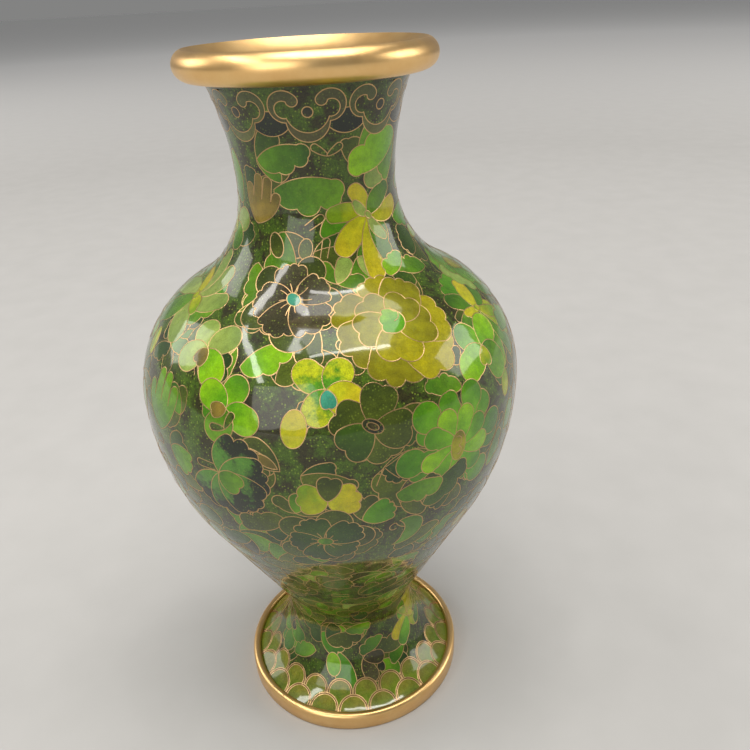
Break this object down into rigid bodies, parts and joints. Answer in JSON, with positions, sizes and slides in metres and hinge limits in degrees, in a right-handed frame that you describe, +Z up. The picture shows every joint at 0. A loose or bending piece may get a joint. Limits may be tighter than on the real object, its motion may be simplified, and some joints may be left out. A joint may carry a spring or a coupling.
{
  "type": "cloisonne vase",
  "caption": "Baluster vase of brazed copper shells under enamel cells between inlaid wires, with a gilt rolled lip, a narrow waist and a gilt foot ring.",
  "frame": {"origin": "centre of the foot ring's resting plane, on the vase's axis", "axes": "+Z up along the vase's axis, towards the mouth"},
  "size_m": [0.136, 0.136, 0.254],
  "materials": {
    "band_enamel": "polished enamel",
    "braze": "brazing seam",
    "copper": "raised copper sheet, fired brown inside",
    "eye_enamel": "polished enamel",
    "gilt": "polished gilding",
    "ground": "polished translucent enamel over copper",
    "lining": "fired counter-enamel, glossy",
    "pendant_enamel": "polished enamel",
    "scale_enamel": "polished enamel",
    "wire": "ground flush and gilt"
  },
  "bodies": {
    "root": {"foot_ring": "gilt", "lip_ring": "gilt", "pedestal_shell": "copper", "belly_shell": "copper", "shoulder_shell": "copper", "neck_root_shell": "copper", "neck_shell": "copper", "base_plate": "copper", "waist_braze": "braze", "girdle_braze": "braze", "neck_root_braze": "braze", "neck_braze": "braze", "interior_lining": "lining", "base_enamel": "lining", "pedestal_enamel": "ground", "belly_enamel": "ground", "shoulder_enamel": "ground", "neck_enamel": "ground", "ruyi_wires": "wire", "ruyi_eye_wires": "wire", "pendant_wires": "wire", "lower_scale_wires": "wire", "upper_scale_wires": "wire", "ruyi_band_enamel": "band_enamel", "ruyi_eye_enamel": "eye_enamel", "pendant_enamel": "pendant_enamel", "lower_scale_enamel": "scale_enamel", "upper_scale_enamel": "scale_enamel"}
  },
  "joints": []
}
